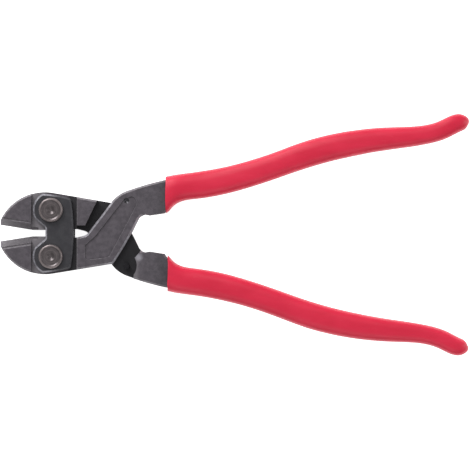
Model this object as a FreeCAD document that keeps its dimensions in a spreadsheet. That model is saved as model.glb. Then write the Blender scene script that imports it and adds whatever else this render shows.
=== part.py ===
"""Compact bolt cutters with dipped handles, as a parametric assembly in millimetres.

Two identical forgings cross over in a half lap.  Each one is a jaw, a hub and, on the other
side of the centre line, a handle.  Each hub turns on a pivot bolt of its own, and two link
plates hold the two bolts 25 mm apart.  Under the plates a round-nosed tooth on one hub sits
in a fork on the other, so that both levers open by the same angle.

The tool lies flat: +X runs from the jaws to the handles, +Z is the tool's thickness.  The
lever outlines are drawn about the point midway between the pivots, and every piece is then
placed so that the origin is under the centre of the whole tool, on the surface it lies on.
"""
import FreeCAD, Part
import math
import os
import Sketcher
from FreeCAD import Placement, Rotation, Vector

DIMENSIONS = {
    "frame_shift": -99.8,       # pivot centre to the centre of the tool's length
    "frame_lift": 12.1,         # surface to the lap plane
    "pivot_offset": 12.6,       # pivot axis to the centre line
    "lever_thickness": 12.0,
    "hub_thickness": 6.4,
    "outline_chamfer": 1.0,
    "seat_front": -10.7,        # walls of the recess that the link plates lie in
    "seat_rear": 13.9,
    "seat_chamfer": 0.6,
    "lap_gap": 0.2,
    "back_radius": 26.5,        # back of the jaw
    "shoulder_radius": 5.1,     # inner corner beside the window
    "flank_radius": 176.0,      # handle side of the crossing
    "bend_radius": 17.8,        # crossing to handle, outer side
    "neck_radius": 150.0,
    "handle_swell": 255.0,      # the two long bends of the handle
    "handle_sweep": 290.0,
    "handle_flare": 62.0,
    "handle_tip": 3.6,
    "handle_thickness": 8.8,
    "ramp_start": 64.5,
    "ramp_end": 74.0,
    "handle_cut_end": 300.0,    # past the end of the handle
    "lap_radius": 8.5,          # step of the lap at the handle
    "edge_flat": 0.15,          # half width of the flat left on the cutting edge
    "bevel_width": 3.3,
    "bevel_rise": 5.6,
    "groove_width": 1.4,
    "groove_side": 0.56,
    "groove_floor": 5.15,
    "bevel_length": 21.0,
    "bevel_cut": 26.0,          # from the end of the bevel to past the jaw tip
    "panel_depth": 0.6,
    "panel_draft": 48.0,
    "panel_corner": 1.6,
    "panel_bend": 3.0,
    "panel_crown": 3.8,
    "pivot_radius": 4.0,
    "pivot_clearance": 0.05,
    "tooth_radius": 1.2,
    "tooth_neck": 0.9,
    "tooth_root": -3.5,
    "fork_half_width": 2.8,
    "fork_slot": 1.35,
    "fork_reach": 0.4,
    "fork_depth": 1.6,
    "plate_inner_face": 3.3,
    "plate_thickness": 3.4,
    "plate_chamfer": 0.9,
    "lobe_radius": 9.9,
    "plate_side_radius": 60.0,
    "plate_rear_radius": 112.0,
    "plate_rounding": 1.6,
    "head_radius": 6.5,
    "head_height": 2.2,
    "rim_round": 0.8,
    "rim_inner": 5.4,
    "dish_radius": 4.7,
    "dish_depth": 0.4,
    "dimple_radius": 2.3,
    "dimple_floor": 0.8,
    "dimple_depth": 1.3,
    "washer_radius": 7.4,
    "washer_thickness": 0.9,
    "nut_flats": 13.0,
    "nut_height": 4.0,
    "bolt_end": 0.5,            # bolt past the nut
    "bolt_chamfer": 0.8,
    "pin_radius": 1.6,
    "pin_length": 10.6,
    "pin_sink": 0.6,
    "pin_dish": 1.35,
    "pin_dish_depth": 0.8,
    "grip_corner": 0.42,        # corner radius of a grip section over its width
}

# Corners of the lower lever, in the plane of the tool, about the point between the pivots.
LEVER_POINTS = {
    "tip_in": (-28.0, -4.44),
    "tip_out": (-27.35, -7.4),
    "back_end": (1.4, -21.9),
    "elbow": (33.65, -16.5),
    "throat": (47.3, 7.5),
    "throat_end": (50.7, 10.25),
    "pad_start": (53.3, 9.85),
    "pad_end": (61.6, 11.1),
    "heel_start": (62.9, 13.2),
    "heel_end": (72.5, 19.9),
    "inner_swell": (127.0, 34.0),
    "inner_sweep": (200.0, 50.5),
    "inner_flare": (219.3, 56.6),
    "outer_flare": (216.9, 62.6),
    "outer_sweep": (192.0, 56.5),
    "outer_swell": (124.0, 43.4),
    "collar": (74.0, 31.1),
    "neck_end": (61.5, 29.1),
    "neck_start": (42.0, 23.45),
    "bend_start": (33.4, 17.83),
    "shoulder_out": (20.31, 0.47),
    "shoulder_in": (17.83, -1.31),
    "window": (13.9, -2.25),
    "hub_front": (-2.8, -1.75),
    "edge_heel": (-10.3, -1.75),
}

LAP_POINTS = {
    "lap_window": (13.9, -4.3),
    "land_inner": (18.5, -4.3),
    "land_outer": (27.0, -22.2),
    "lap_outside": (44.0, -12.0),
    "lap_flank": (50.2, 6.5),
    "lap_throat": (48.4, 9.8),
    "lap_knee": (45.5, 13.2),
    "lap_high": (45.0, 22.4),
    "lap_top": (44.4, 27.0),
    "lap_back": (13.9, 27.0),
}

PANEL_POINTS = {
    "panel_inner": (18.6, -6.4),
    "panel_low": (18.6, -12.9),
    "panel_base": (20.3, -14.35),
    "panel_elbow": (29.87, -13.1),
    "panel_turn": (32.13, -11.54),
    "panel_flank": (46.0, 14.7),
    "panel_top": (43.6, 20.2),
    "panel_pin": (39.6, 18.6),
    "panel_rise": (24.2, -1.3),
}

PLATE_POINTS = {
    "notch": (-3.0, -3.0),
    "lobe_front": (-8.6, -7.7),
    "lobe_back": (-4.6, -21.366),
    "plate_corner": (10.7, -18.8),
}

STOP_PIN = (40.9, 17.8)

# Sections of the upper grip: centre, heading in degrees, width and height.
GRIP_SECTIONS = {
    "mouth": (61.8, 21.2, 0.0, 20.0, 15.4),
    "lip": (63.4, 21.55, 0.0, 19.8, 15.3),
    "throat": (65.4, 22.9, 0.0, 17.9, 15.1),
    "taper": (67.4, 24.15, 3.0, 16.1, 14.8),
    "collar": (70.3, 25.1, 5.5, 15.05, 14.1),
    "neck": (77.4, 26.15, 8.5, 14.75, 13.0),
    "swell": (98.0, 30.0, 14.0, 14.5, 12.8),
    "middle": (124.1, 38.2, 19.8, 14.05, 12.8),
    "rise": (140.2, 43.9, 17.0, 14.5, 12.8),
    "sweep": (156.25, 48.1, 13.0, 14.3, 12.8),
    "waist": (182.4, 52.2, 6.3, 12.5, 12.4),
    "flare": (201.5, 54.1, 8.5, 10.6, 12.0),
    "end": (213.5, 57.4, 21.0, 10.45, 12.0),
    "nose": (221.1, 61.0, 21.0, 10.0, 11.0),
    "shoulder": (223.9, 61.7, 18.0, 8.8, 9.6),
    "tip": (225.9, 62.0, 11.0, 5.8, 7.0),
    "tip_end": (227.3, 62.0, 5.0, 2.2, 2.8),
}

SAME = 1e-4                     # mm, lengths closer than this are the same
MARGIN = 0.1                    # mm, for picking edges by where they end

doc = FreeCAD.newDocument("bolt_cutters")
sheet = doc.addObject("Spreadsheet::Sheet", "Sheet")
spare = doc.addObject("Spreadsheet::Sheet", "Spare")


def fill_sheet():
    """Every driving size and outline corner goes on the sheet under its own alias."""
    cells = dict(DIMENSIONS)
    for table in (LEVER_POINTS, LAP_POINTS, PANEL_POINTS, PLATE_POINTS):
        for name, (x, y) in table.items():
            cells[name + "_x"] = x
            cells[name + "_y"] = y
    cells["stop_pin_x"], cells["stop_pin_y"] = STOP_PIN
    for name, numbers in GRIP_SECTIONS.items():
        for part, number in zip(("x", "y", "heading", "width", "height"), numbers):
            cells["grip_%s_%s" % (name, part)] = number
    for row, (alias, number) in enumerate(cells.items(), start=1):
        sheet.set("A%d" % row, alias)
        sheet.set("B%d" % row, "%.4f" % number)
        sheet.setAlias("B%d" % row, alias)
    doc.recompute()


def value(expression):
    """What an expression in the sheet's aliases comes to, worked out on the spare sheet."""
    spare.set("A1", "=" + expression)
    spare.recompute()
    return float(spare.get("A1"))


def new_body(label):
    body = doc.addObject("PartDesign::Body", label)
    body.Label = label
    return body


def new_sketch(body, name, role, right="0", out="0", turn="0"):
    """A sketch on one of the body's own origin planes.  It can be moved along its own first
    axis and out of its plane, and turned about its second axis."""
    sketch = body.newObject("Sketcher::SketchObject", name)
    plane = [item for item in body.Origin.OriginFeatures if item.Role == role][0]
    sketch.AttachmentSupport = [(plane, "")]
    sketch.MapMode = "FlatFace"
    tilt = Rotation(Vector(0, 1, 0), value(turn))
    sketch.AttachmentOffset = Placement(Vector(value(right), 0, value(out)), tilt)
    sketch.setExpression(".AttachmentOffset.Base.x", right)
    sketch.setExpression(".AttachmentOffset.Base.z", out)
    return sketch


def bind(sketch, kind, places, expression):
    """A dimension of the sketch that follows the sheet."""
    index = sketch.addConstraint(Sketcher.Constraint(kind, *places, value(expression)))
    sketch.setExpression("Constraints[%d]" % index, expression)


def pin_point(sketch, item, end, x, y):
    bind(sketch, "DistanceX", (-1, 1, item, end), x)
    bind(sketch, "DistanceY", (-1, 1, item, end), y)


def arc_geometry(start, end, radius, side):
    """The short arc from start to end.  side is +1 when its centre is on the left."""
    chord = end - start
    middle = (start + end) * 0.5
    left = Vector(-chord.y, chord.x, 0).normalize()
    reach = math.sqrt(radius ** 2 - (chord.Length / 2) ** 2)
    centre = middle + left * (side * reach)
    first, last = (start, end) if side > 0 else (end, start)
    first_angle = math.atan2(first.y - centre.y, first.x - centre.x)
    last_angle = math.atan2(last.y - centre.y, last.x - centre.x)
    if last_angle < first_angle:
        last_angle += 2 * math.pi
    return Part.ArcOfCircle(Part.Circle(centre, Vector(0, 0, 1), radius), first_angle, last_angle)


def tangent_radius(start, end, heading):
    """Radius of the arc that leaves start along heading and reaches end."""
    chord = end - start
    return chord.Length / (2 * math.sin(heading.getAngle(chord)))


def draw(sketch, path):
    """A closed outline.  path lists (x, y, bend): x and y are expressions for a corner, and
    bend leads on to the next corner.  It is None for a straight line, (radius, side) for an
    arc, and ("smooth", side) for an arc that carries on smoothly from the stretch before."""
    corners = [Vector(value(x), value(y), 0) for x, y, bend in path]
    ends = []
    heading = Vector(1, 0, 0)
    for step, (x, y, bend) in enumerate(path):
        start = corners[step]
        end = corners[(step + 1) % len(path)]
        if bend is None:
            item = sketch.addGeometry(Part.LineSegment(start, end), False)
            ends.append((item, 1, 2))
            heading = end - start
        else:
            radius, side = bend
            smooth = radius == "smooth"
            length = tangent_radius(start, end, heading) if smooth else value(radius)
            arc = arc_geometry(start, end, length, side)
            item = sketch.addGeometry(arc, False)
            ends.append((item, 1, 2) if side > 0 else (item, 2, 1))
            spoke = (end - arc.Center) * side
            heading = Vector(-spoke.y, spoke.x, 0)
    for step, (item, first, last) in enumerate(ends):
        following = (step + 1) % len(ends)
        next_item, next_first, next_last = ends[following]
        next_bend = path[following][2]
        kind = "Tangent" if next_bend is not None and next_bend[0] == "smooth" else "Coincident"
        sketch.addConstraint(Sketcher.Constraint(kind, item, last, next_item, next_first))
    for step, (x, y, bend) in enumerate(path):
        item, first, last = ends[step]
        pin_point(sketch, item, first, x, y)
        if bend is not None and bend[0] != "smooth":
            bind(sketch, "Radius", (item,), bend[0])


def draw_named(sketch, path):
    """An outline through named corners of the sheet; radii are given by their aliases."""
    steps = []
    for name, bend in path:
        if bend is not None and bend[0] != "smooth":
            bend = ("Sheet." + bend[0], bend[1])
        steps.append(("Sheet.%s_x" % name, "Sheet.%s_y" % name, bend))
    draw(sketch, steps)


def draw_polygon(sketch, corners):
    draw(sketch, [(x, y, None) for x, y in corners])


def draw_circle(sketch, x, y, radius):
    centre = Vector(value(x), value(y), 0)
    circle = Part.Circle(centre, Vector(0, 0, 1), value(radius))
    item = sketch.addGeometry(circle, False)
    bind(sketch, "Radius", (item,), radius)
    pin_point(sketch, item, 3, x, y)


def pad(body, sketch, name, length):
    """Material on both sides of the sketch, length thick in all."""
    feature = body.newObject("PartDesign::Pad", name)
    feature.Profile = sketch
    feature.SideType = "Symmetric"
    feature.setExpression("Length", length)
    doc.recompute()
    return feature


def pocket(body, sketch, name, length=None, symmetric=False, draft=None):
    """A cut against the sketch's normal, or both ways, through everything or length deep."""
    before = body.Shape.Volume
    feature = body.newObject("PartDesign::Pocket", name)
    feature.Profile = sketch
    feature.SideType = "Symmetric" if symmetric else "One side"
    if length is None:
        feature.Type = "ThroughAll"
    else:
        feature.Type = "Length"
        feature.setExpression("Length", length)
    if draft is not None:
        feature.setExpression("TaperAngle", draft)
    doc.recompute()
    if body.Shape.Volume >= before:
        raise RuntimeError("%s cuts nothing" % name)
    return feature


def edges_at_height(shape, height):
    """Names of the edges that lie wholly in the plane z = height."""
    names = []
    for number, edge in enumerate(shape.Edges, start=1):
        box = edge.BoundBox
        if abs(box.ZMin - height) < SAME and abs(box.ZMax - height) < SAME:
            names.append("Edge%d" % number)
    return names


def chamfer(body, base, name, edges, width):
    feature = body.newObject("PartDesign::Chamfer", name)
    feature.Base = (base, edges)
    feature.setExpression("Size", width)
    doc.recompute()
    return feature


def round_corners(body, base, name, corners, radius):
    """Rounds the upright edges at the given corners and at their mirror images in y = 0."""
    edges = []
    for number, edge in enumerate(base.Shape.Edges, start=1):
        middle = edge.BoundBox.Center
        upright = edge.BoundBox.XLength + edge.BoundBox.YLength < SAME
        near = [abs(middle.x - x) + abs(abs(middle.y) - abs(y)) < MARGIN for x, y in corners]
        if upright and any(near):
            edges.append("Edge%d" % number)
    feature = body.newObject("PartDesign::Fillet", name)
    feature.Base = (base, edges)
    feature.setExpression("Radius", radius)
    doc.recompute()
    return feature


def place(item, turned=False, x="0", y="0", z="0"):
    """Into the tool's frame.  A turned piece is the twin, half a turn about the long axis."""
    way_up = Rotation(Vector(1, 0, 0), 180.0 if turned else 0.0)
    item.Placement = Placement(Vector(0, 0, 0), way_up)
    item.setExpression(".Placement.Base.x", "Sheet.frame_shift + " + x)
    item.setExpression(".Placement.Base.y", y)
    item.setExpression(".Placement.Base.z", "Sheet.frame_lift + " + z)


def in_view(edge):
    """The edges that get a chamfer: not those of the stop pad, nor those inside the grip."""
    box = edge.BoundBox
    outer_side = box.YMin > value("Sheet.pad_end_y")
    before_handle = box.XMax < value("Sheet.collar_x") + MARGIN
    return (outer_side and before_handle) or box.XMax < value("Sheet.pad_start_x")


def lever_blank(body):
    """The forging's outline from jaw tip to handle end, with chamfered edges."""
    sketch = new_sketch(body, body.Label + "_outline", "XY_Plane")
    draw_named(sketch, [
        ("tip_in", None),
        ("tip_out", ("back_radius", 1)),
        ("back_end", None),
        ("elbow", ("flank_radius", 1)),
        ("throat", ("smooth", -1)),
        ("throat_end", None),
        ("pad_start", None),
        ("pad_end", None),
        ("heel_start", ("smooth", -1)),
        ("heel_end", ("handle_swell", 1)),
        ("inner_swell", ("handle_sweep", -1)),
        ("inner_sweep", ("handle_flare", 1)),
        ("inner_flare", ("handle_tip", 1)),
        ("outer_flare", ("handle_flare", -1)),
        ("outer_sweep", ("handle_sweep", 1)),
        ("outer_swell", ("handle_swell", -1)),
        ("collar", None),
        ("neck_end", ("neck_radius", 1)),
        ("neck_start", ("bend_radius", 1)),
        ("bend_start", None),
        ("shoulder_out", ("shoulder_radius", -1)),
        ("shoulder_in", None),
        ("window", None),
        ("hub_front", None),
        ("edge_heel", None),
    ])
    blank = pad(body, sketch, body.Label + "_blank", "Sheet.lever_thickness")
    face = value("Sheet.lever_thickness / 2")
    edges = edges_at_height(blank.Shape, face) + edges_at_height(blank.Shape, -face)
    edges = [name for name in edges if in_view(blank.Shape.getElement(name))]
    chamfer(body, blank, body.Label + "_edges", edges, "Sheet.outline_chamfer")


def thin_handle(body):
    """The handle is thinner than the head; the step down is a ramp inside the grip."""
    sketch = new_sketch(body, body.Label + "_thinning", "XZ_Plane")
    for way in ("", "-"):
        head = way + "Sheet.lever_thickness / 2"
        handle = way + "Sheet.handle_thickness / 2"
        outside = way + "Sheet.lever_thickness"
        draw_polygon(sketch, [
            ("Sheet.ramp_start", head),
            ("Sheet.ramp_end", handle),
            ("Sheet.handle_cut_end", handle),
            ("Sheet.handle_cut_end", outside),
            ("Sheet.ramp_start", outside)])
    pocket(body, sketch, body.Label + "_thin", symmetric=True)


def cut_plate_seats(body):
    """A recess across the hub on both faces, for the link plates."""
    sketch = new_sketch(body, body.Label + "_seats", "XZ_Plane")
    for way in ("", "-"):
        inside = way + "Sheet.hub_thickness / 2"
        outside = way + "Sheet.lever_thickness"
        face = way + "Sheet.lever_thickness / 2"
        below = face + (" + " if way else " - ") + "Sheet.seat_chamfer"
        draw_polygon(sketch, [
            ("Sheet.seat_front", inside),
            ("Sheet.seat_rear", inside),
            ("Sheet.seat_rear", below),
            ("Sheet.seat_rear + Sheet.seat_chamfer", face),
            ("Sheet.seat_rear + Sheet.seat_chamfer", outside),
            ("Sheet.seat_front", outside)])
    pocket(body, sketch, body.Label + "_seat", symmetric=True)


def cut_lap(body):
    """The crossing keeps only its near half, so that the other lever passes behind it."""
    sketch = new_sketch(body, body.Label + "_lap_outline", "XY_Plane", out="Sheet.lap_gap / 2")
    draw_named(sketch, [
        ("lap_window", None),
        ("land_inner", None),
        ("land_outer", None),
        ("lap_outside", None),
        ("lap_flank", None),
        ("lap_throat", None),
        ("lap_knee", ("lap_radius", 1)),
        ("lap_high", None),
        ("lap_top", None),
        ("lap_back", None),
    ])
    pocket(body, sketch, body.Label + "_lap")


def grind_edge(body):
    """The cutting edge: a bevel on both faces, with a shallow groove where it meets the face."""
    run = "(Sheet.edge_heel_x - Sheet.tip_in_x)"
    rise = "(Sheet.edge_heel_y - Sheet.tip_in_y)"
    share = "Sheet.bevel_length / sqrt(%s ^ 2 + %s ^ 2)" % (run, rise)
    sketch = new_sketch(body, body.Label + "_bevel_section", "YZ_Plane",
                        right="Sheet.tip_in_y + %s * %s" % (rise, share),
                        out="Sheet.tip_in_x + %s * %s" % (run, share),
                        turn="atan(%s / %s) / 1 deg" % (rise, run))
    for way in ("", "-"):
        edge = way + "Sheet.edge_flat"
        outside = way + "Sheet.lever_thickness"
        draw_polygon(sketch, [
            ("0", edge),
            ("-Sheet.bevel_width", way + "Sheet.bevel_rise"),
            ("-Sheet.bevel_width - Sheet.groove_side", way + "Sheet.groove_floor"),
            ("-Sheet.bevel_width - Sheet.groove_width", way + "Sheet.lever_thickness / 2"),
            ("-Sheet.bevel_width - Sheet.groove_width", outside),
            ("Sheet.bevel_width", outside),
            ("Sheet.bevel_width", edge)])
    pocket(body, sketch, body.Label + "_bevel", "Sheet.bevel_cut")


def press_panel(body):
    """The shallow panel forged into the near face of the crossing, with drafted walls."""
    sketch = new_sketch(body, body.Label + "_panel_outline", "XY_Plane",
                        out="Sheet.lever_thickness / 2")
    draw_named(sketch, [
        ("panel_inner", None),
        ("panel_low", ("panel_corner", 1)),
        ("panel_base", None),
        ("panel_elbow", ("panel_bend", 1)),
        ("panel_turn", None),
        ("panel_flank", ("panel_crown", 1)),
        ("panel_top", None),
        ("panel_pin", None),
        ("panel_rise", None),
    ])
    pocket(body, sketch, body.Label + "_panel", "Sheet.panel_depth", draft="Sheet.panel_draft")


def add_tooth(body):
    """The round-nosed tooth, standing on the hub midway between the pivots."""
    neck = new_sketch(body, "tooth_neck_outline", "XY_Plane")
    draw_polygon(neck, [("-Sheet.tooth_neck", "Sheet.tooth_root"),
                        ("Sheet.tooth_neck", "Sheet.tooth_root"),
                        ("Sheet.tooth_neck", "0"), ("-Sheet.tooth_neck", "0")])
    pad(body, neck, "tooth_neck", "Sheet.hub_thickness")
    nose = new_sketch(body, "tooth_nose_outline", "XY_Plane")
    draw_circle(nose, "0", "0", "Sheet.tooth_radius")
    pad(body, nose, "tooth_nose", "Sheet.hub_thickness")


def add_fork(body):
    """The fork that takes the tooth."""
    sketch = new_sketch(body, "fork_outline", "XY_Plane")
    draw_polygon(sketch, [("-Sheet.fork_half_width", "Sheet.tooth_root"),
                          ("Sheet.fork_half_width", "Sheet.tooth_root"),
                          ("Sheet.fork_half_width", "Sheet.fork_reach"),
                          ("Sheet.fork_slot", "Sheet.fork_reach"),
                          ("Sheet.fork_slot", "-Sheet.fork_depth"),
                          ("-Sheet.fork_slot", "-Sheet.fork_depth"),
                          ("-Sheet.fork_slot", "Sheet.fork_reach"),
                          ("-Sheet.fork_half_width", "Sheet.fork_reach")])
    pad(body, sketch, "fork", "Sheet.hub_thickness")


def bore(body, name, x, y, radius):
    sketch = new_sketch(body, name + "_outline", "XY_Plane")
    draw_circle(sketch, x, y, radius)
    pocket(body, sketch, name, symmetric=True)


def make_lever(label, has_tooth, turned):
    """One forging.  Both are drawn as the lower jaw, and the upper one is then turned over."""
    body = new_body(label)
    lever_blank(body)
    thin_handle(body)
    cut_plate_seats(body)
    cut_lap(body)
    grind_edge(body)
    press_panel(body)
    if has_tooth:
        add_tooth(body)
    else:
        add_fork(body)
    bore(body, label + "_pivot_bore", "0", "-Sheet.pivot_offset",
         "Sheet.pivot_radius + Sheet.pivot_clearance")
    bore(body, label + "_pin_bore", "Sheet.stop_pin_x", "Sheet.stop_pin_y", "Sheet.pin_radius")
    place(body, turned)
    return body


def make_link_plate(label, turned):
    """A plate with two lobes round the pivots and a notch between them for the jaws' heels."""
    body = new_body(label)
    sketch = new_sketch(body, label + "_outline", "XY_Plane",
                        out="Sheet.plate_inner_face + Sheet.plate_thickness / 2")
    lower = [("notch", None), ("lobe_front", ("Sheet.lobe_radius", 1)),
             ("lobe_back", ("Sheet.plate_side_radius", 1)),
             ("plate_corner", ("Sheet.plate_rear_radius", 1))]
    path = [("Sheet.%s_x" % name, "Sheet.%s_y" % name, bend) for name, bend in lower]
    upper_bends = [("Sheet.plate_side_radius", 1), ("Sheet.lobe_radius", 1), None, None]
    for (name, unused), bend in zip(reversed(lower), upper_bends):
        path.append(("Sheet.%s_x" % name, "-Sheet.%s_y" % name, bend))
    draw(sketch, path)
    blank = pad(body, sketch, label + "_blank", "Sheet.plate_thickness")
    corners = [PLATE_POINTS[name] for name in ("notch", "lobe_front", "plate_corner")]
    plate = round_corners(body, blank, label + "_rounding", corners, "Sheet.plate_rounding")
    face = value("Sheet.plate_inner_face + Sheet.plate_thickness")
    edges = [name for name in edges_at_height(plate.Shape, face)
             if plate.Shape.getElement(name).BoundBox.XMin < value("Sheet.plate_corner_x") - MARGIN]
    chamfer(body, plate, label + "_edges", edges, "Sheet.plate_chamfer")
    for side, way in (("upper", ""), ("lower", "-")):
        bore(body, "%s_%s_bore" % (label, side), "0", way + "Sheet.pivot_offset",
             "Sheet.pivot_radius")
    place(body, turned)
    return body


def turn(body, sketch):
    """The solid of revolution of a half section drawn against the sketch's upright axis."""
    feature = body.newObject("PartDesign::Revolution", body.Label + "_turned")
    feature.Profile = sketch
    feature.ReferenceAxis = (sketch, ["V_Axis"])
    feature.Angle = 360.0
    doc.recompute()


def make_pivot_bolt(label, side):
    """Dished round head with a rolled rim and a centre dimple, plain shank, chamfered end."""
    body = new_body(label)
    sketch = new_sketch(body, label + "_profile", "XZ_Plane")
    plate_face = "Sheet.plate_inner_face + Sheet.plate_thickness"
    top = plate_face + " + Sheet.head_height"
    end = "-(%s + Sheet.washer_thickness + Sheet.nut_height + Sheet.bolt_end)" % plate_face
    draw(sketch, [
        ("0", end, None),
        ("Sheet.pivot_radius - Sheet.bolt_chamfer", end, None),
        ("Sheet.pivot_radius", end + " + Sheet.bolt_chamfer", None),
        ("Sheet.pivot_radius", plate_face, None),
        ("Sheet.head_radius", plate_face, None),
        ("Sheet.head_radius", top + " - Sheet.rim_round", ("Sheet.rim_round", 1)),
        ("Sheet.head_radius - Sheet.rim_round", top, None),
        ("Sheet.rim_inner", top, None),
        ("Sheet.dish_radius", top + " - Sheet.dish_depth", None),
        ("Sheet.dimple_radius", top + " - Sheet.dish_depth", None),
        ("Sheet.dimple_floor", top + " - Sheet.dimple_depth", None),
        ("0", top + " - Sheet.dimple_depth", None)])
    turn(body, sketch)
    place(body, y=side + "Sheet.pivot_offset")
    return body


def new_primitive(kind, label, **sizes):
    """A Part primitive with its sizes bound to the sheet."""
    item = doc.addObject(kind, label)
    item.Label = label
    for name, expression in sizes.items():
        item.setExpression(name, expression)
    return item


def cut(label, base, tool):
    item = doc.addObject("Part::Cut", label)
    item.Base = base
    item.Tool = tool
    item.Label = label
    return item


def make_washer(label, side):
    disc = new_primitive("Part::Cylinder", label + "_disc",
                         Radius="Sheet.washer_radius", Height="Sheet.washer_thickness")
    hole = new_primitive("Part::Cylinder", label + "_hole",
                         Radius="Sheet.pivot_radius", Height="Sheet.washer_thickness")
    washer = cut(label, disc, hole)
    under_plate = "-Sheet.plate_inner_face - Sheet.plate_thickness - Sheet.washer_thickness"
    place(washer, y=side + "Sheet.pivot_offset", z=under_plate)
    return washer


def make_nut(label, side):
    """A thin hexagon nut, its outer corners turned off."""
    hexagon = new_primitive("Part::Prism", label + "_hexagon",
                            Circumradius="Sheet.nut_flats / sqrt(3)", Height="Sheet.nut_height")
    hexagon.Polygon = 6
    corners = new_primitive("Part::Cone", label + "_corners",
                            Radius1="Sheet.nut_flats / 2",
                            Radius2="Sheet.nut_flats / 2 + Sheet.nut_height * sqrt(3)",
                            Height="Sheet.nut_height")
    blank = doc.addObject("Part::Common", label + "_blank")
    blank.Base = hexagon
    blank.Tool = corners
    hole = new_primitive("Part::Cylinder", label + "_hole",
                         Radius="Sheet.pivot_radius", Height="Sheet.nut_height")
    nut = cut(label, blank, hole)
    under_washer = ("-Sheet.plate_inner_face - Sheet.plate_thickness"
                    " - Sheet.washer_thickness - Sheet.nut_height")
    place(nut, y=side + "Sheet.pivot_offset", z=under_washer)
    return nut


def make_stop_pin(label, turned):
    """A pin with a dished end, pressed into the crossing; its far end stops the other lever."""
    body = new_body(label)
    sketch = new_sketch(body, label + "_profile", "XZ_Plane")
    top = "Sheet.lever_thickness / 2 - Sheet.pin_sink"
    draw_polygon(sketch, [
        ("0", top + " - Sheet.pin_length"),
        ("Sheet.pin_radius", top + " - Sheet.pin_length"),
        ("Sheet.pin_radius", top),
        ("Sheet.pin_dish", top),
        ("0", top + " - Sheet.pin_dish_depth")])
    turn(body, sketch)
    side = "-" if turned else ""
    place(body, turned, x="Sheet.stop_pin_x", y=side + "Sheet.stop_pin_y")
    return body


def grip_section(body, name):
    """One rounded-rectangle section of the grip, square to its centre line."""
    own = "Sheet.grip_%s_" % name
    sketch = new_sketch(body, "%s_%s" % (body.Label, name), "YZ_Plane",
                        right=own + "y", out=own + "x", turn=own + "heading")
    side = own + "width / 2"
    top = own + "height / 2"
    radius = "min(%swidth; %sheight) * Sheet.grip_corner" % (own, own)
    corner = (radius, 1)
    draw(sketch, [
        ("-%s + %s" % (side, radius), "-" + top, None),
        ("%s - %s" % (side, radius), "-" + top, corner),
        (side, "-%s + %s" % (top, radius), None),
        (side, "%s - %s" % (top, radius), corner),
        ("%s - %s" % (side, radius), top, None),
        ("-%s + %s" % (side, radius), top, corner),
        ("-" + side, "%s - %s" % (top, radius), None),
        ("-" + side, "-%s + %s" % (top, radius), corner)])
    return sketch


def make_grip(label, lever, turned):
    """Thick vinyl dipped over the handle: a loft along it, less the lever itself."""
    body = new_body(label + "_outside")
    sections = [grip_section(body, name) for name in GRIP_SECTIONS]
    loft = body.newObject("PartDesign::AdditiveLoft", label + "_loft")
    loft.Profile = sections[0]
    loft.Sections = sections[1:]
    doc.recompute()
    place(body, turned)
    return cut(label, body, lever)


def main():
    fill_sheet()
    lower_jaw = make_lever("lower_jaw_lever", has_tooth=True, turned=False)
    upper_jaw = make_lever("upper_jaw_lever", has_tooth=False, turned=True)
    parts = [
        lower_jaw,
        upper_jaw,
        make_link_plate("front_link_plate", turned=False),
        make_link_plate("rear_link_plate", turned=True),
        make_grip("upper_grip", lower_jaw, turned=False),
        make_grip("lower_grip", upper_jaw, turned=True),
        make_stop_pin("front_stop_pin", turned=False),
        make_stop_pin("rear_stop_pin", turned=True),
    ]
    for name, side in (("upper", ""), ("lower", "-")):
        parts.append(make_pivot_bolt(name + "_pivot_bolt", side))
        parts.append(make_washer(name + "_pivot_washer", side))
        parts.append(make_nut(name + "_pivot_nut", side))
    doc.recompute()
    failed = [item.Name for item in doc.Objects
              if "Invalid" in item.State or "Error" in item.State]
    if failed:
        raise RuntimeError("not computed: " + ", ".join(failed))
    for part in parts:
        if part.Shape.isNull() or not part.Shape.isValid() or len(part.Shape.Solids) != 1:
            raise RuntimeError("%s is not one valid solid" % part.Label)
    os.makedirs("parts", exist_ok=True)
    for part in parts:
        part.Shape.exportStep("parts/%s.step" % part.Label)
        print("%-20s %9.1f mm3" % (part.Label, part.Shape.Volume))


main()
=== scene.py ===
"""Looks of the compact bolt cutters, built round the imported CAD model.  Lengths are in metres."""
import math

import bmesh
import bpy
import numpy as np
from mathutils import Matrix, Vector, noise


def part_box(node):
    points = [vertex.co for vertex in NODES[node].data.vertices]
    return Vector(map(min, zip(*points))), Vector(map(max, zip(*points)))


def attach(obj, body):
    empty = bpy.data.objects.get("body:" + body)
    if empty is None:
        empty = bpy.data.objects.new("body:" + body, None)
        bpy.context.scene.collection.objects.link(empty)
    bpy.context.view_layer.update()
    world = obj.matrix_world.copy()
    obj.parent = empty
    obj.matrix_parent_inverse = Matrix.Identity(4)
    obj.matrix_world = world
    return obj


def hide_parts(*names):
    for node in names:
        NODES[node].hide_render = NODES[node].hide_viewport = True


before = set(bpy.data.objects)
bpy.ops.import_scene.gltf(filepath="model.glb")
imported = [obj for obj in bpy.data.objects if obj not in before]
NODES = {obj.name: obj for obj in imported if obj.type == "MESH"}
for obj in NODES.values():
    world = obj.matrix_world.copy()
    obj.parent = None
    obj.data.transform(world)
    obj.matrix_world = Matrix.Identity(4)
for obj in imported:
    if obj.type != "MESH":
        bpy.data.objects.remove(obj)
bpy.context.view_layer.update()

MM = 0.001


def middle_of(node):
    low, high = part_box(node)
    return (low + high) / 2


LEVER_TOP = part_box("lower_jaw_lever")[1].z

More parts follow.
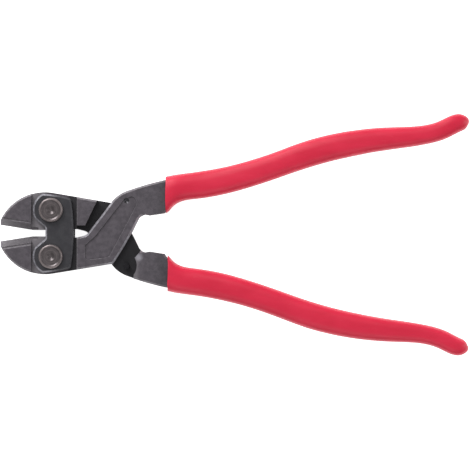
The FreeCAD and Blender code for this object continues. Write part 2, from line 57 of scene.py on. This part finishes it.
# Places on the tool in millimetres, the unit of the materials, read from the model.
PIVOT = middle_of("upper_pivot_bolt") / MM
PIN = middle_of("front_stop_pin") / MM
LAP = middle_of("lower_jaw_lever").z / MM                # height at which the levers cross
GRIP_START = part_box("upper_grip")[0].x / MM
KNEE = (PIN.x + 6.7, abs(PIN.y) - 4.9)   # inner corner of the lap's step, across from the pin


# ---------------------------------------------------------------- node helpers

def new_material(name, **settings):
    """A material with one principled shader, and the settings that hold all over it."""
    material = bpy.data.materials.new(name)
    material.use_nodes = True
    tree = material.node_tree
    tree.nodes.clear()
    output = tree.nodes.new("ShaderNodeOutputMaterial")
    shader = tree.nodes.new("ShaderNodeBsdfPrincipled")
    tree.links.new(shader.outputs[0], output.inputs["Surface"])
    for socket, setting in settings.items():
        shader.inputs[socket.replace("_", " ")].default_value = setting
    return material, tree, shader


def feed(tree, socket, source):
    if isinstance(source, bpy.types.NodeSocket):
        tree.links.new(source, socket)
    else:
        socket.default_value = source


def add(tree, kind, sources=(), **settings):
    """A node with its settings, its inputs fed in order by the given sources."""
    node = tree.nodes.new("ShaderNode" + kind)
    for name, setting in settings.items():
        setattr(node, name, setting)
    for key, source in (sources.items() if isinstance(sources, dict) else enumerate(sources)):
        feed(tree, node.inputs[key], source)
    return node


def math_node(tree, operation, *sources):
    return add(tree, "Math", sources, operation=operation).outputs[0]


def times(tree, share, *others):
    """The product of the shares."""
    for other in others:
        share = math_node(tree, "MULTIPLY", share, other)
    return share


def without(tree, share):
    """1 where the share is 0, 0 where it is 1."""
    return math_node(tree, "SUBTRACT", 1.0, share)


def vector_node(tree, operation, *sources):
    return add(tree, "VectorMath", sources, operation=operation).outputs[0]


def smooth(tree, source, low, high):
    """0 where source is at low, 1 where it is at high, with a soft change between."""
    node = add(tree, "MapRange", {"Value": source, "From Min": low, "From Max": high},
               interpolation_type="SMOOTHSTEP")
    return node.outputs[0]


def span(tree, source, low, high):
    """source, from 0 to 1, spread over low to high."""
    return add(tree, "MapRange", {"Value": source, "To Min": low, "To Max": high}).outputs[0]


def blend_colour(tree, share, first, second, mode="MIX"):
    node = add(tree, "Mix", data_type="RGBA", blend_type=mode)
    feed(tree, node.inputs[0], share)
    feed(tree, node.inputs[6], first)
    feed(tree, node.inputs[7], second)
    return node.outputs[2]


def millimetres(tree):
    """The place on the piece, in millimetres, in the frame that the piece was made in."""
    place = add(tree, "TexCoord").outputs["Object"]
    node = add(tree, "VectorMath", operation="SCALE")
    feed(tree, node.inputs[0], place)
    node.inputs["Scale"].default_value = 1 / MM
    return node.outputs[0]


def speckle(tree, place, size, detail=3.0, stretch=None):
    """Noise whose blots are about size millimetres across."""
    if stretch is not None:
        place = vector_node(tree, "MULTIPLY", place, stretch)
    node = add(tree, "TexNoise", {"Vector": place, "Scale": 1 / size, "Detail": detail})
    return node.outputs[0]


def parts_of(tree, vector):
    node = add(tree, "SeparateXYZ", (vector,))
    return node.outputs[0], node.outputs[1], node.outputs[2]


def tilt(tree):
    """How level the surface lies: 1 for a face that looks up or down, 0 for a wall."""
    normal = add(tree, "NewGeometry").outputs["True Normal"]
    return math_node(tree, "ABSOLUTE", parts_of(tree, normal)[2])


def rounded_normal(tree, radius):
    return add(tree, "Bevel", {"Radius": radius}, samples=6).outputs[0]


def edge_wear(tree, radius):
    """1 along an edge, 0 away from it, from how far a rounded normal leaves the flat one."""
    rounded = rounded_normal(tree, radius)
    flat = add(tree, "NewGeometry").outputs["True Normal"]
    match = add(tree, "VectorMath", (rounded, flat), operation="DOT_PRODUCT").outputs["Value"]
    return smooth(tree, match, 0.995, 0.86)


def distance_to(tree, x, y, centre):
    """How far the point (x, y) is from the centre."""
    here = add(tree, "CombineXYZ", (x, y, 0.0)).outputs[0]
    there = add(tree, "CombineXYZ", (centre[0], centre[1], 0.0)).outputs[0]
    return add(tree, "VectorMath", (here, there), operation="DISTANCE").outputs["Value"]


def bump(tree, height, distance, strength=1.0, normal=None):
    node = add(tree, "Bump", {"Height": height, "Distance": distance, "Strength": strength})
    if normal is not None:
        feed(tree, node.inputs["Normal"], normal)
    return node.outputs[0]


# ------------------------------------------------------------------- materials

OXIDE = (0.061, 0.053, 0.063, 1)
OXIDE_LIGHT = (0.087, 0.076, 0.089, 1)
# darkest oxide for pits and oil, also used as painted shade in the groove and on the stop pin's end
OXIDE_DARK_AND_SHADE = (0.014, 0.013, 0.016, 1)
# rubbed steel for worn corners, also used as painted highlight on chamfers, the seat and the step
RUBBED_AND_LIT = (0.23, 0.215, 0.23, 1)
SHADED = (0.028, 0.026, 0.034, 1)
# polished steel, also used as painted highlight at the knee, on the crossing and on the plates'
# chamfers
POLISHED_AND_LIT = (0.36, 0.35, 0.39, 1)
BLADE = (0.115, 0.105, 0.115, 1)
PLATE_DARK = (0.026, 0.025, 0.030, 1)
PLATE_LIGHT = (0.036, 0.035, 0.040, 1)
BOLT_FACE = (0.080, 0.069, 0.071, 1)
BOLT_RIM = (0.21, 0.178, 0.178, 1)
NUT_FACE = (0.10, 0.098, 0.105, 1)
NUT_RIM = (0.16, 0.155, 0.16, 1)
PIN_BLACK = (0.04, 0.038, 0.043, 1)
VINYL_RED = (0.55, 0.010, 0.040, 1)
VINYL_LIGHT = (0.61, 0.015, 0.050, 1)
VINYL_SCUFFED = (0.62, 0.05, 0.08, 1)
VINYL_SIDE_SHADE = (0.30, 0.028, 0.055, 1)

# Wear, painted shade and painted light.  Each pair is where a mask is 0 and where it is 1, in
# millimetres along or across the tool.
BEHIND_PLATES = (PIVOT.x + 8.5, PIVOT.x + 10.0)
AHEAD_OF_PLATES = (PIVOT.x - 2.0, PIVOT.x - 5.0)
JAW = (PIVOT.x - 6.5, PIVOT.x - 8.0)
PLATE_FRONT = (PIVOT.x + 5.0, PIVOT.x - 3.0)
CROSSING_FRONT = (PIVOT.x + 15.8, PIVOT.x + 17.8)
CROSSING_REAR = (KNEE[0] + 5.2, KNEE[0] + 0.2)
STEP_BAND_REAR = (KNEE[0] + 1.2, KNEE[0] - 1.3)
STEP_BAND_FRONT = (KNEE[0] - 5.3, KNEE[0] - 3.8)
STEP_BAND_SIDE = (KNEE[1], KNEE[1] + 1.5)
INSIDE_PINS = (abs(PIN.y) - 0.3, abs(PIN.y) - 2.3)
BY_GRIP = (GRIP_START - 6.5, GRIP_START)
KNEE_SPOT = (4.6, 2.2)                   # distance from the knee

# The same for the distance above or below the lap.
LAP_FACE = (1.2, 0.6)
GROOVE_FLOOR = (4.6, 3.4)
SEAT_FACE = (4.6, 3.6)
OUTER_FACE = (5.2, 5.6)

# The same for how level the surface lies, as tilt() gives it.
LAP_LEVEL = (0.7, 0.95)
SEAT_LEVEL = (0.9, 0.97)
BEVEL_STEEP, BEVEL_FLAT = (0.30, 0.42), (0.66, 0.58)
CHAMFER_STEEP, CHAMFER_FLAT = (0.45, 0.62), (0.97, 0.85)
GRIP_SIDE = (0.50, 0.05)


def chamfers(tree, level):
    return times(tree, smooth(tree, level, *CHAMFER_STEEP), smooth(tree, level, *CHAMFER_FLAT))


def grained(tree, share, colour, grain):
    """The colour with the grain laid over it as light and dark."""
    ramp = add(tree, "ValToRGB", (grain,)).outputs[0]
    return blend_colour(tree, share, colour, ramp, "SOFT_LIGHT")


def forged_steel():
    """Blasted, blackened forging: mottled scale, rubbed edges, a ground cutting edge, with painted
    shade on the lap and in the groove, and painted highlights on chamfers, the seat, the knee and
    the crossing.
    """
    material, tree, shader = new_material("forged_steel_blackened", Metallic=0.35)
    place = millimetres(tree)
    x, y, z = parts_of(tree, place)
    level = tilt(tree)
    mottle = speckle(tree, place, 2.4, 5.0)
    grain = speckle(tree, place, 0.35, 4.0)
    pits = speckle(tree, place, 0.7, 2.0)
    colour = blend_colour(tree, smooth(tree, mottle, 0.32, 0.68), OXIDE, OXIDE_LIGHT)
    colour = grained(tree, 0.3, colour, grain)
    pitted = times(tree, smooth(tree, pits, 0.64, 0.74), 0.6)
    colour = blend_colour(tree, pitted, colour, OXIDE_DARK_AND_SHADE)
    # painted shade: the milled faces of the lap, down in the recess between the levers, are darkened
    # to stand in for the shade there
    off_lap = math_node(tree, "ABSOLUTE", math_node(tree, "SUBTRACT", z, LAP))
    lap_shade = times(tree, smooth(tree, off_lap, *LAP_FACE), smooth(tree, level, *LAP_LEVEL))
    colour = blend_colour(tree, times(tree, lap_shade, 0.9), colour, SHADED)
    # painted shadow: the floor of the deep groove between the plates and the crossing is darkened
    # where shade falls
    groove_shade = times(tree, smooth(tree, x, *BEHIND_PLATES), smooth(tree, off_lap, *GROOVE_FLOOR))
    colour = blend_colour(tree, times(tree, groove_shade, 0.95), colour, OXIDE_DARK_AND_SHADE)
    # painted light: the seat floor in front of the plates is lightened, lifting the shade that its
    # wall casts
    seat_light = times(tree, smooth(tree, x, *AHEAD_OF_PLATES), smooth(tree, off_lap, *SEAT_FACE),
                 smooth(tree, level, *SEAT_LEVEL))
    colour = blend_colour(tree, times(tree, seat_light, 0.6), colour, RUBBED_AND_LIT)
    # ground bevel along the cutting edge, in front of the hubs
    sloped = times(tree, smooth(tree, level, *BEVEL_STEEP), smooth(tree, level, *BEVEL_FLAT))
    streaks = speckle(tree, place, 1.0, 3.0, stretch=(0.25, 4.0, 4.0))
    ground = times(tree, smooth(tree, x, *JAW), sloped, span(tree, streaks, 0.35, 1.0))
    colour = blend_colour(tree, ground, colour, BLADE)
    # chamfers lightened as a painted highlight, and corners rubbed bright by wear
    slope = chamfers(tree, level)
    patchy = span(tree, smooth(tree, speckle(tree, place, 1.4, 4.0), 0.30, 0.62), 0.35, 1.0)
    corners = times(tree, edge_wear(tree, 0.35 * MM), 0.7)
    worn = math_node(tree, "MAXIMUM", times(tree, slope, 0.8), corners)
    worn = times(tree, worn, patchy, without(tree, lap_shade), without(tree, groove_shade))
    # painted highlight at the knee of the lap, where the other lever comes to rest
    side = math_node(tree, "SIGN", math_node(tree, "SUBTRACT", LAP, z))
    lap_side = times(tree, y, side)
    outside = smooth(tree, off_lap, *OUTER_FACE)
    away = math_node(tree, "ADD", distance_to(tree, x, lap_side, KNEE), times(tree, mottle, 3.0))
    knee_highlight = times(tree, smooth(tree, away, *KNEE_SPOT), outside)
    colour = blend_colour(tree, times(tree, knee_highlight, 0.6), colour, POLISHED_AND_LIT)
    # painted highlight: a lighter band beside the step
    step_highlight = times(tree, smooth(tree, x, *STEP_BAND_REAR), smooth(tree, x, *STEP_BAND_FRONT),
                 outside, smooth(tree, lap_side, *STEP_BAND_SIDE))
    colour = blend_colour(tree, times(tree, step_highlight, 0.35), colour, RUBBED_AND_LIT)
    # painted light on the crossing: its chamfers and the panel's walls are lightened, lifting the
    # shade on walls turned from the key light
    crossing = times(tree, smooth(tree, x, *CROSSING_FRONT), smooth(tree, x, *CROSSING_REAR))
    inward = smooth(tree, math_node(tree, "ABSOLUTE", y), *INSIDE_PINS)
    bright = times(tree, crossing, slope, patchy, without(tree, lap_shade), inward)
    # oil and dust gather where the steel runs into the grip
    by_grip = smooth(tree, x, *BY_GRIP)
    worn = times(tree, worn, span(tree, by_grip, 1.0, 0.4))
    colour = blend_colour(tree, times(tree, by_grip, 0.32), colour, OXIDE_DARK_AND_SHADE)
    # wear on the corners with a painted highlight on the chamfers, then the painted light on the
    # crossing
    colour = blend_colour(tree, times(tree, worn, 0.8), colour, RUBBED_AND_LIT)
    colour = blend_colour(tree, times(tree, bright, 0.7), colour, POLISHED_AND_LIT)
    feed(tree, shader.inputs["Base Color"], colour)
    rough = span(tree, speckle(tree, place, 1.1, 3.0), 0.42, 0.60)
    rough = math_node(tree, "SUBTRACT", rough, times(tree, worn, 0.14))
    feed(tree, shader.inputs["Roughness"], rough)
    coarse = bump(tree, mottle, 0.10 * MM, 0.6, rounded_normal(tree, 0.22 * MM))
    feed(tree, shader.inputs["Normal"], bump(tree, grain, 0.035 * MM, 0.8, coarse))
    return material


def plate_steel():
    """Rolled and blackened plate, with the stamped edge broken bright, partly by wear and partly as
    a painted highlight.
    """
    material, tree, shader = new_material("plate_steel_blackened", Metallic=0.35)
    place = millimetres(tree)
    mottle = speckle(tree, place, 4.0, 4.0)
    rolled = speckle(tree, place, 0.5, 3.0, stretch=(3.0, 0.5, 1.0))
    grain = speckle(tree, place, 0.28, 3.0)
    colour = blend_colour(tree, smooth(tree, mottle, 0.3, 0.7), PLATE_DARK, PLATE_LIGHT)
    colour = grained(tree, 0.35, colour, rolled)
    worn = math_node(tree, "MAXIMUM", chamfers(tree, tilt(tree)), edge_wear(tree, 0.3 * MM))
    patchy = span(tree, smooth(tree, speckle(tree, place, 1.2, 4.0), 0.32, 0.62), 0.4, 1.0)
    # wear with a painted highlight on the chamfers: strong on the front lobes, which face the key
    # light, faint on the rear edge
    front = smooth(tree, parts_of(tree, place)[0], *PLATE_FRONT)
    worn = times(tree, worn, patchy, span(tree, front, 0.05, 0.7))
    colour = blend_colour(tree, worn, colour, POLISHED_AND_LIT)
    feed(tree, shader.inputs["Base Color"], colour)
    feed(tree, shader.inputs["Roughness"], span(tree, rolled, 0.40, 0.56))
    normal = bump(tree, rolled, 0.02 * MM, 0.6, rounded_normal(tree, 0.2 * MM))
    feed(tree, shader.inputs["Normal"], bump(tree, grain, 0.02 * MM, 0.6, normal))
    return material


TURNED_RING = 3.4            # mm, radius of the faint ring in a turned face
BOLT_RIM_FROM = 5.3          # mm, radius at which the rim's colour begins
NUT_RIM_FROM = 6.6
NO_RIM = 90.0                # beyond any piece


def turned_steel(name, face, rim, rim_from, shaded_in_recess=False):
    """Turned steel about the pivots: fine rings, and a rim of another colour past rim_from.
    When oily is set, the piece gets painted shade on the side of the lap that its body leaves free,
    where its end stands in the recess between the levers."""
    material, tree, shader = new_material(name, Metallic=0.7)
    place = millimetres(tree)
    x, y, z = parts_of(tree, place)
    along = math_node(tree, "SUBTRACT", x, PIVOT.x)
    across = math_node(tree, "SUBTRACT", math_node(tree, "ABSOLUTE", y), PIVOT.y)
    squares = math_node(tree, "ADD", times(tree, along, along), times(tree, across, across))
    radius = math_node(tree, "SQRT", squares)
    rings = add(tree, "CombineXYZ", (radius, 0.0, z)).outputs[0]
    ring_marks = speckle(tree, rings, 0.22, 2.0)
    mottle = speckle(tree, place, 1.8, 4.0)
    lighter = tuple(1.35 * c for c in face[:3]) + (1,)
    colour = blend_colour(tree, smooth(tree, mottle, 0.3, 0.7), face, lighter)
    colour = grained(tree, 0.4, colour, ring_marks)
    off_ring = math_node(tree, "ABSOLUTE", math_node(tree, "SUBTRACT", radius, TURNED_RING))
    ring = times(tree, smooth(tree, off_ring, 0.45, 0.1), 0.22)
    colour = blend_colour(tree, ring, colour, rim)
    polished = smooth(tree, radius, rim_from, rim_from + 0.35)
    polished = times(tree, polished, span(tree, smooth(tree, mottle, 0.35, 0.6), 0.55, 1.0))
    colour = blend_colour(tree, polished, colour, rim)
    worn = times(tree, edge_wear(tree, 0.25 * MM), span(tree, mottle, 0.2, 0.9))
    colour = blend_colour(tree, times(tree, worn, 0.6), colour, RUBBED_AND_LIT)
    if shaded_in_recess:
        # painted shade on the pin's end, where it stands in the recess between the levers
        lap_side = times(tree, y, math_node(tree, "SUBTRACT", LAP, z))
        colour = blend_colour(tree, smooth(tree, lap_side, -1.0, 1.0), colour, OXIDE_DARK_AND_SHADE)
    feed(tree, shader.inputs["Base Color"], colour)
    feed(tree, shader.inputs["Roughness"], span(tree, ring_marks, 0.30, 0.46))
    normal = bump(tree, ring_marks, 0.015 * MM, 0.7, rounded_normal(tree, 0.18 * MM))
    feed(tree, shader.inputs["Normal"], normal)
    return material


def vinyl():
    """Dipped vinyl: satin skin with a fine peel, faint flow along the handle and light scuffs."""
    material, tree, shader = new_material(
        "dipped_vinyl_red", IOR=1.38, Coat_Weight=0.08, Coat_Roughness=0.22,
        Subsurface_Weight=0.04, Subsurface_Radius=(1.0, 0.25, 0.2), Subsurface_Scale=0.8 * MM)
    place = millimetres(tree)
    flow = speckle(tree, place, 7.0, 3.0, stretch=(0.35, 1.0, 1.0))
    peel = speckle(tree, place, 0.55, 2.0)
    fine = speckle(tree, place, 0.16, 2.0)
    scuffs = speckle(tree, place, 1.3, 5.0, stretch=(0.5, 1.6, 1.6))
    colour = blend_colour(tree, smooth(tree, flow, 0.3, 0.7), VINYL_RED, VINYL_LIGHT)
    scuffed = times(tree, smooth(tree, scuffs, 0.62, 0.74), 0.25)
    colour = blend_colour(tree, scuffed, colour, VINYL_SCUFFED)
    # painted shade: the sides of the grip are darkened
    side = smooth(tree, tilt(tree), *GRIP_SIDE)
    colour = blend_colour(tree, times(tree, side, 0.6), colour, VINYL_SIDE_SHADE)
    feed(tree, shader.inputs["Base Color"], colour)
    rough = math_node(tree, "ADD", span(tree, flow, 0.38, 0.48),
                      times(tree, smooth(tree, scuffs, 0.55, 0.75), 0.12))
    feed(tree, shader.inputs["Roughness"], rough)
    normal = bump(tree, peel, 0.03 * MM, 0.5)
    feed(tree, shader.inputs["Normal"], bump(tree, fine, 0.01 * MM, 0.5, normal))
    return material


# ------------------------------------------------------------------------ grips

RING_POINTS = 64
STATIONS = 150
LIP = 0.9 * MM               # length over which the mouth is rolled in
LIP_ROLL = 0.7               # how far it is rolled in, as a share of that length
LIP_WAVE = 0.35 * MM         # how uneven the mouth's edge is
END_RUN = 9 * MM             # length over which the end turns from oval to round
ROUND, OVAL = 2.15, 0.75     # exponent of the section at the end, and what the body adds
DEEP_LUMPS, FINE_LUMPS = 0.10 * MM, 0.03 * MM
DEEP_PER_METRE, FINE_PER_METRE = (60, 110, 110), 260
SHARP_DEGREES = 50


def slices(mesh, stations):
    """Lowest and highest y and z of the mesh in each plane x = station."""
    points = np.array([v.co for v in mesh.vertices])
    pairs = np.array([e.vertices[:] for e in mesh.edges])
    first, second = points[pairs[:, 0]], points[pairs[:, 1]]
    found = []
    for x in stations:
        crossing = (first[:, 0] - x) * (second[:, 0] - x) <= 0
        a, b = first[crossing], second[crossing]
        run = b[:, 0] - a[:, 0]
        share = np.where(np.abs(run) > 1e-12, (x - a[:, 0]) / np.where(run == 0, 1, run), 0.5)
        cut = a + (b - a) * share[:, None]
        found.append((cut[:, 1].min(), cut[:, 1].max(), cut[:, 2].min(), cut[:, 2].max()))
    return np.array(found)


def smoothed(values, passes):
    for _ in range(passes):
        inner = (values[:-2] + 2 * values[1:-1] + values[2:]) / 4
        values = np.vstack([values[:1], inner, values[-1:]])
    return values


def grip(node, name, mouth):
    """The dipped grip: a skin of rings along the CAD grip, with a rolled lip and a lumpy end.
    It starts mouth past the CAD grip's own start."""
    low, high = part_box(node)
    low.x += mouth
    turn = np.linspace(0, math.pi, STATIONS)
    stations = low.x + (high.x - low.x) * (0.0008 + 0.9984 * (1 - np.cos(turn)) / 2)
    sides = smoothed(slices(NODES[node].data, stations), 3)
    shell = bmesh.new()
    rings = []
    for x, (y_low, y_high, z_low, z_high) in zip(stations, sides):
        centre = Vector((x, (y_low + y_high) / 2, (z_low + z_high) / 2))
        half_y, half_z = (y_high - y_low) / 2, (z_high - z_low) / 2
        past_lip = min((x - low.x) / LIP, 1)
        rolled = LIP * LIP_ROLL * (1 - math.sqrt(1 - (1 - past_lip) ** 2))
        half_y, half_z = half_y - rolled, half_z - rolled
        before_end = min((high.x - x) / END_RUN, 1)
        power = 2 / (ROUND + OVAL * before_end)
        ring = []
        for step in range(RING_POINTS):
            angle = 2 * math.pi * step / RING_POINTS
            c, s = math.cos(angle), math.sin(angle)
            y = math.copysign(abs(c) ** power, c) * half_y
            z = math.copysign(abs(s) ** power, s) * half_z
            point = centre + Vector((0, y, z))
            outward = Vector((0, c, s))
            deep = Vector([value * rate for value, rate in zip(point, DEEP_PER_METRE)])
            lump = noise.noise(deep) * DEEP_LUMPS
            lump += noise.noise(point * FINE_PER_METRE) * FINE_LUMPS
            point -= outward * (abs(lump) * min(past_lip, before_end))
            if past_lip < 1:
                wave = noise.noise(Vector((c * 1.6, s * 1.6, y_low * 90)))
                point.x += wave * LIP_WAVE * (1 - past_lip)
            ring.append(shell.verts.new(point))
        rings.append(ring)
    for one, two in zip(rings, rings[1:]):
        for step in range(RING_POINTS):
            after = (step + 1) % RING_POINTS
            shell.faces.new((one[step], two[step], two[after], one[after]))
    for ring in (rings[0], rings[-1]):
        middle = shell.verts.new(sum((v.co for v in ring), Vector()) / RING_POINTS)
        for step in range(RING_POINTS):
            shell.faces.new((middle, ring[step], ring[(step + 1) % RING_POINTS]))
    bmesh.ops.recalc_face_normals(shell, faces=shell.faces)
    mesh = bpy.data.meshes.new(name)
    shell.to_mesh(mesh)
    shell.free()
    piece = bpy.data.objects.new(name, mesh)
    bpy.context.scene.collection.objects.link(piece)
    return piece


def welded_copy(node):
    """A watertight copy of a CAD node, to cut other pieces with."""
    mesh = NODES[node].data.copy()
    work = bmesh.new()
    work.from_mesh(mesh)
    bmesh.ops.remove_doubles(work, verts=work.verts, dist=1e-6)
    work.to_mesh(mesh)
    work.free()
    copy = bpy.data.objects.new(node + "_cutter", mesh)
    bpy.context.scene.collection.objects.link(copy)
    return copy


def hollow(piece, node):
    """Takes the steel of a CAD node out of the piece, so that one sits round the other."""
    cutter = welded_copy(node)
    modifier = piece.modifiers.new("hollow", "BOOLEAN")
    modifier.operation = "DIFFERENCE"
    modifier.object = cutter
    modifier.solver = "EXACT"
    bpy.context.view_layer.update()
    graph = bpy.context.evaluated_depsgraph_get()
    cut = bpy.data.meshes.new_from_object(piece.evaluated_get(graph))
    piece.modifiers.clear()
    piece.data = cut
    bpy.data.objects.remove(cutter)


def finish_surface(mesh):
    mesh.shade_smooth()
    mesh.set_sharp_from_angle(angle=math.radians(SHARP_DEGREES))


# --------------------------------------------------------------- the object

def paint(mesh, material):
    mesh.materials.clear()
    mesh.materials.append(material)


STEEL = forged_steel()
PLATE = plate_steel()
BOLT = turned_steel("pivot_bolt_steel", BOLT_FACE, BOLT_RIM, BOLT_RIM_FROM)
FASTENER = turned_steel("fastener_steel", NUT_FACE, NUT_RIM, NUT_RIM_FROM)
PIN_STEEL = turned_steel("stop_pin_steel", PIN_BLACK, PIN_BLACK, NO_RIM, shaded_in_recess=True)
VINYL = vinyl()

for material, nodes in (
        (STEEL, ("lower_jaw_lever", "upper_jaw_lever")),
        (PLATE, ("front_link_plate", "rear_link_plate")),
        (BOLT, ("upper_pivot_bolt", "lower_pivot_bolt")),
        (FASTENER, ("upper_pivot_washer", "upper_pivot_nut",
                    "lower_pivot_washer", "lower_pivot_nut")),
        (PIN_STEEL, ("front_stop_pin", "rear_stop_pin"))):
    for node in nodes:
        paint(NODES[node].data, material)

# the lower grip was dipped a little less deep than the upper one
UPPER_MOUTH, LOWER_MOUTH = 0.1 * MM, 1.4 * MM

for node, lever, body, mouth in (
        ("upper_grip", "lower_jaw_lever", "lower_jaw", UPPER_MOUTH),
        ("lower_grip", "upper_jaw_lever", "upper_jaw", LOWER_MOUTH)):
    piece = grip(node, node + "_dipped", mouth)
    hollow(piece, lever)
    finish_surface(piece.data)
    paint(piece.data, VINYL)
    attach(piece, body)
    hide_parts(node)


# --------------------------------------------------------------- the studio

FLOOR_HALF = 4.0
FLOOR_DROP = 0.2 * MM        # how far the floor lies under the tool, so that they don't touch
FLOOR_GLOW = 0.86
SKY_GLOW = 0.44


def floor():
    material, _, shader = new_material("studio_floor", Roughness=0.9)
    shader.inputs["Base Color"].default_value = (0.92, 0.92, 0.92, 1)
    shader.inputs["Emission Color"].default_value = (1, 1, 1, 1)
    shader.inputs["Emission Strength"].default_value = FLOOR_GLOW
    mesh = bpy.data.meshes.new("studio_floor")
    corners = [(x * FLOOR_HALF, y * FLOOR_HALF, 0) for x, y in ((-1, -1), (1, -1), (1, 1), (-1, 1))]
    mesh.from_pydata(corners, [], [(0, 1, 2, 3)])
    mesh.materials.append(material)
    plane = bpy.data.objects.new("studio_floor", mesh)
    plane.location.z = -FLOOR_DROP
    bpy.context.scene.collection.objects.link(plane)


def soft_box(name, place, size, power):
    """A square white area light that looks at the tool: place and size in metres, power in watts."""
    light = bpy.data.lights.new(name, "AREA")
    light.shape = "SQUARE"
    light.size = size
    light.energy = power
    lamp = bpy.data.objects.new(name, light)
    lamp.location = place
    lamp.rotation_euler = (-Vector(place)).to_track_quat("-Z", "Y").to_euler()
    lamp.visible_camera = False
    bpy.context.scene.collection.objects.link(lamp)


def sky(strength):
    world = bpy.data.worlds.new("studio")
    world.use_nodes = True
    background = world.node_tree.nodes["Background"]
    background.inputs[0].default_value = (1, 1, 1, 1)
    background.inputs[1].default_value = strength
    bpy.context.scene.world = world


VIEW_WIDTH = 0.25507         # width of the picture at the upper face of the levers
VIEW_SHIFT = (0.0001, -0.0006)
VIEW_TURN = 0.205            # degrees
CAMERA_HEIGHT = 1.15
SENSOR = 36.0


def camera():
    data = bpy.data.cameras.new("camera")
    data.sensor_width = SENSOR
    data.lens = SENSOR * (CAMERA_HEIGHT - LEVER_TOP) / VIEW_WIDTH
    data.clip_start, data.clip_end = 0.1, 20
    eye = bpy.data.objects.new("camera", data)
    eye.location = (VIEW_SHIFT[0], VIEW_SHIFT[1], CAMERA_HEIGHT)
    eye.rotation_euler = (0, 0, math.radians(VIEW_TURN))
    bpy.context.scene.collection.objects.link(eye)
    bpy.context.scene.camera = eye


floor()
soft_box("key", (-0.72, 1.05, 0.72), 0.6, 17.5)
soft_box("top", (-0.35, 0.8, 1.5), 0.8, 6)
soft_box("right", (1.25, 0.1, 0.5), 0.7, 4)
soft_box("front", (0.1, -1.1, 1.2), 0.9, 4)
sky(SKY_GLOW)
camera()
bpy.context.scene.view_settings.view_transform = "Standard"
